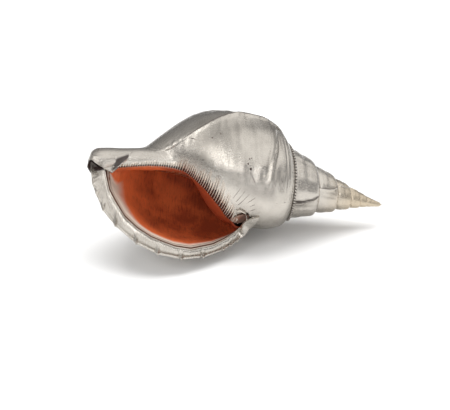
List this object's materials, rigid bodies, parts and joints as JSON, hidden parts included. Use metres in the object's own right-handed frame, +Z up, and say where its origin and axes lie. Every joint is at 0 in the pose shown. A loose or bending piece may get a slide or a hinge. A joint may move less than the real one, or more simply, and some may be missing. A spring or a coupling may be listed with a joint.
{
  "type": "silver-plated seashell",
  "caption": "Large right-handed trumpet triton shell plated in silver, with a flared toothed lip, a short spout-like canal and a natural orange mouth; a tabletop ornament.",
  "frame": {"origin": "centre of the bounding box's base, on the surface the shell lies on", "axes": "+X towards the apex of the spire, -Y the side the mouth faces, +Z up"},
  "size_m": [0.3488, 0.1726, 0.1489],
  "materials": {
    "silver_plate": "satin to bright silver plate over the whole outside, lightly brushed and tarnished",
    "bare_mouth": "the mouth's inside left unplated: glossy orange shell with a pale band, a dark line at the lip and a dark wrinkled inner lip"
  },
  "bodies": {
    "root": {"triton_shell": "silver_plate"}
  },
  "joints": []
}
